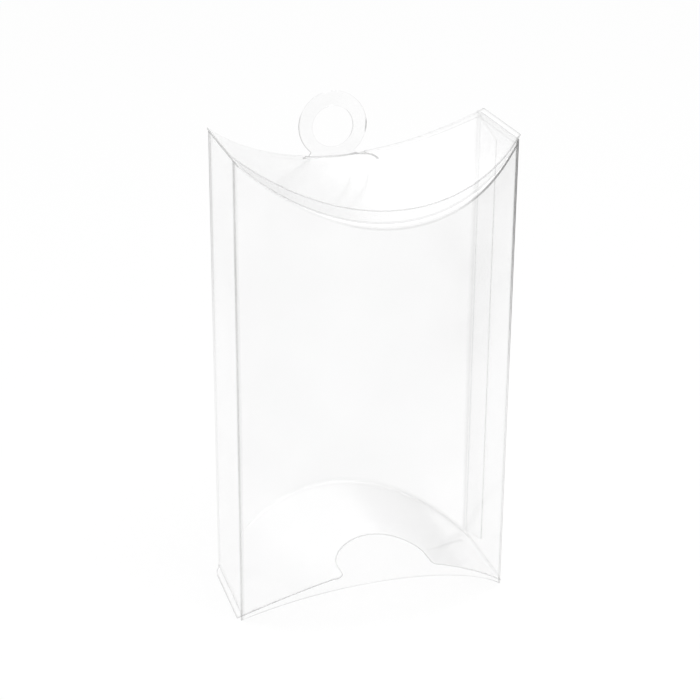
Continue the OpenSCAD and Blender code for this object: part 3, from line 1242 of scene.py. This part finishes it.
pulled_curve = interpolate_bezier(Vector((13.0, 43.4)), Vector((19.0, 37.0)), Vector((24.0, 27.0)),
                                  Vector((30.3, 14.3)), 40)
bottom_sheet = flap_sheet(bottom_outline, bottom_place, bottom_seam,
                          lambda x: back_fold_mark(x, False), bottom_rim, 54.0, False,
                          lambda x: 1.0, [(p.x, p.y) for p in pulled_curve], pulled_mark)
bottom_film = film_piece("bottom_flap_film", bottom_sheet, "bottom_flap")

# %% [markdown]
# A flap's film doesn't hinge on a line. It stays on the back panel's curved fold and bends over a
# band next to it, so each flap blends from the sleeve's movement to its own over that band.

# %% Let the flaps bend at their folds
band, top_axis, bottom_axis = 10.0, 108.0, 14.8
for piece, flap, level_z, side in ((top_film, "top_flap", top_axis, -1),
                                   (bottom_film, "bottom_flap", bottom_axis, 1)):
    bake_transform(piece, "sleeve", flap, start=(0.0, back_y * MM, level_z * MM),
             end=(0.0, (back_y - band) * MM, (level_z + side * band) * MM))
    print(flap, "bends over", band, "mm beside its fold")

# %% [markdown]
# ## Floor, light and background
# Clear things are photographed against white, with a bright wall behind them for their reflections
# and a grey card where an edge needs some tone. The floor is a plain pale sheet. To the camera and
# in reflections it is white, and a share of it still takes the object's shadow.


# %% Floor
def plain_sheet(name, corners):
    data = bpy.data.meshes.new(name)
    data.from_pydata([tuple(v * MM for v in corner) for corner in corners], [], [(0, 1, 2, 3)])
    made = bpy.data.objects.new(name, data)
    bpy.context.scene.collection.objects.link(made)
    made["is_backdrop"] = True
    return made


def white_in_view(tree, share):
    """How much of a surface is plain white: the share for what the camera or a reflection sees."""
    rays = node(tree, "ShaderNodeLightPath").outputs
    seen = math_node(tree, "MAXIMUM", rays["Is Camera Ray"], rays["Is Glossy Ray"])
    seen = math_node(tree, "MAXIMUM", seen, rays["Is Transmission Ray"])
    return math_node(tree, "MULTIPLY", seen, share)


floor_half, floor_white = 3000, 0.9
floor = plain_sheet("floor", [(x * floor_half, y * floor_half, 0)
                              for x, y in ((-1, -1), (1, -1), (1, 1), (-1, 1))])
floor_paint, paint = empty_material("pale floor")
end_in_mix(paint, white_in_view(paint, floor_white), shader(paint, "ShaderNodeBsdfDiffuse", 0.96),
           shader(paint, "ShaderNodeEmission", 1.0))
floor.data.materials.append(floor_paint)
print("floor", 2 * floor_half * MM, "m square")

# %% [markdown]
# The room lights the object evenly. In reflections it has one large bright window, high and to the
# left behind the object: the right half of the top flap mirrors it and turns pure white. The window
# is a smooth patch round one direction of the world, so it has no hard edge.

# %% Background
room_strength, window_extra = 0.8, 0.3
window_middle = Vector((0.07, 0.886, 0.455)).normalized()
window_full, window_end = 0.975, 0.92

world = bpy.data.worlds.new("studio")
bpy.context.scene.world = world
world.use_nodes = True
sky = world.node_tree
sky.nodes.clear()
room = shader(sky, "ShaderNodeBackground", 1.0)
room.inputs["Strength"].default_value = room_strength
white = shader(sky, "ShaderNodeBackground", 1.0)
direction = node(sky, "ShaderNodeTexCoord")
towards = node(sky, "ShaderNodeVectorMath", operation="DOT_PRODUCT")
towards.inputs[1].default_value = window_middle
sky.links.new(direction.outputs["Generated"], towards.inputs[0])
window = fade(sky, towards.outputs["Value"], window_full, window_end)
mirrored = node(sky, "ShaderNodeLightPath").outputs["Is Glossy Ray"]
brighter = plus(sky, times(sky, window, mirrored, window_extra), 1.0)
sky.links.new(brighter, white.inputs["Strength"])
end_in_mix(sky, white_in_view(sky, 1.0), room, white, "ShaderNodeOutputWorld")
print("room lights at", room_strength, "and the window adds", window_extra, "in reflections")

# %% [markdown]
# One wide lamp hangs over the front, a little to the right. It gives the box the soft shadow that
# it stands in.

# %% Lamp
lamp_place, lamp_target = Vector((0.1, -0.28, 0.85)), Vector((0.0, 0.0, 0.05))
lamp_data = bpy.data.lights.new("soft box", "AREA")
lamp_data.shape = "RECTANGLE"
lamp_data.size, lamp_data.size_y = 0.5, 0.4
lamp_data.energy = 3.2
lamp = bpy.data.objects.new("soft box", lamp_data)
lamp.location = lamp_place
lamp.rotation_euler = (lamp_target - lamp_place).to_track_quat("-Z", "Y").to_euler()
bpy.context.scene.collection.objects.link(lamp)
print("lamp", round((lamp_target - lamp_place).length, 2), "m from the box")

# %% [markdown]
# The grey card stands behind the box on the right. It is darkest at its foot and thins out to
# nothing at its sides and top, and it shows only in reflections: the right end of the bottom flap
# mirrors it.

# %% Grey card
card_middle, card_half, card_top = Vector((100.0, 180.0, 0.0)), 130.0, 170.0
card_along = Vector((0.88, -0.47, 0.0)).normalized()
side_full, side_gone, top_full, top_gone, card_strength = 0.05, 0.13, 0.02, 0.1, 0.8
left_end, right_end = card_middle - card_along * card_half, card_middle + card_along * card_half
raised = Vector((0.0, 0.0, card_top))
card = plain_sheet("grey card", [left_end, right_end, right_end + raised, left_end + raised])
card_paint, grey_card = empty_material("grey card")
where = node(grey_card, "ShaderNodeTexCoord").outputs["Object"]
side = node(grey_card, "ShaderNodeVectorMath", operation="DOT_PRODUCT")
side.inputs[1].default_value = card_along
off_middle = node(grey_card, "ShaderNodeVectorMath", operation="SUBTRACT")
off_middle.inputs[1].default_value = card_middle * MM
grey_card.links.new(where, off_middle.inputs[0])
grey_card.links.new(off_middle.outputs["Vector"], side.inputs[0])
up = node(grey_card, "ShaderNodeSeparateXYZ")
grey_card.links.new(where, up.inputs[0])
off_side = math_node(grey_card, "ABSOLUTE", side.outputs["Value"])
depth = times(grey_card, fade(grey_card, off_side, side_full, side_gone),
              fade(grey_card, up.outputs["Z"], top_full, top_gone), card_strength)
end_in_mix(grey_card, depth, node(grey_card, "ShaderNodeBsdfTransparent"),
           shader(grey_card, "ShaderNodeEmission", 0.7))
card.data.materials.append(card_paint)
card.visible_camera = card.visible_diffuse = card.visible_shadow = False
card.visible_transmission = card.visible_volume_scatter = False
print("grey card", 2 * card_half, "mm wide and", card_top, "mm high")

# %% [markdown]
# A ray through this box meets up to a dozen faces of film, so more of them have to be allowed to be
# see-through one behind another. Colours are shown as they are, with the plain view transform.

# %% Render settings that belong to the scene
scene = bpy.context.scene
scene.view_settings.view_transform = "Standard"
scene.cycles.transparent_max_bounces = 32
print("view transform", scene.view_settings.view_transform)

visual_box = [list(corner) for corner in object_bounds()]
for label, box in (("solids", cad_box), ("pieces", visual_box)):
    print(label, [round(v * 1000, 2) for corner in box for v in corner])
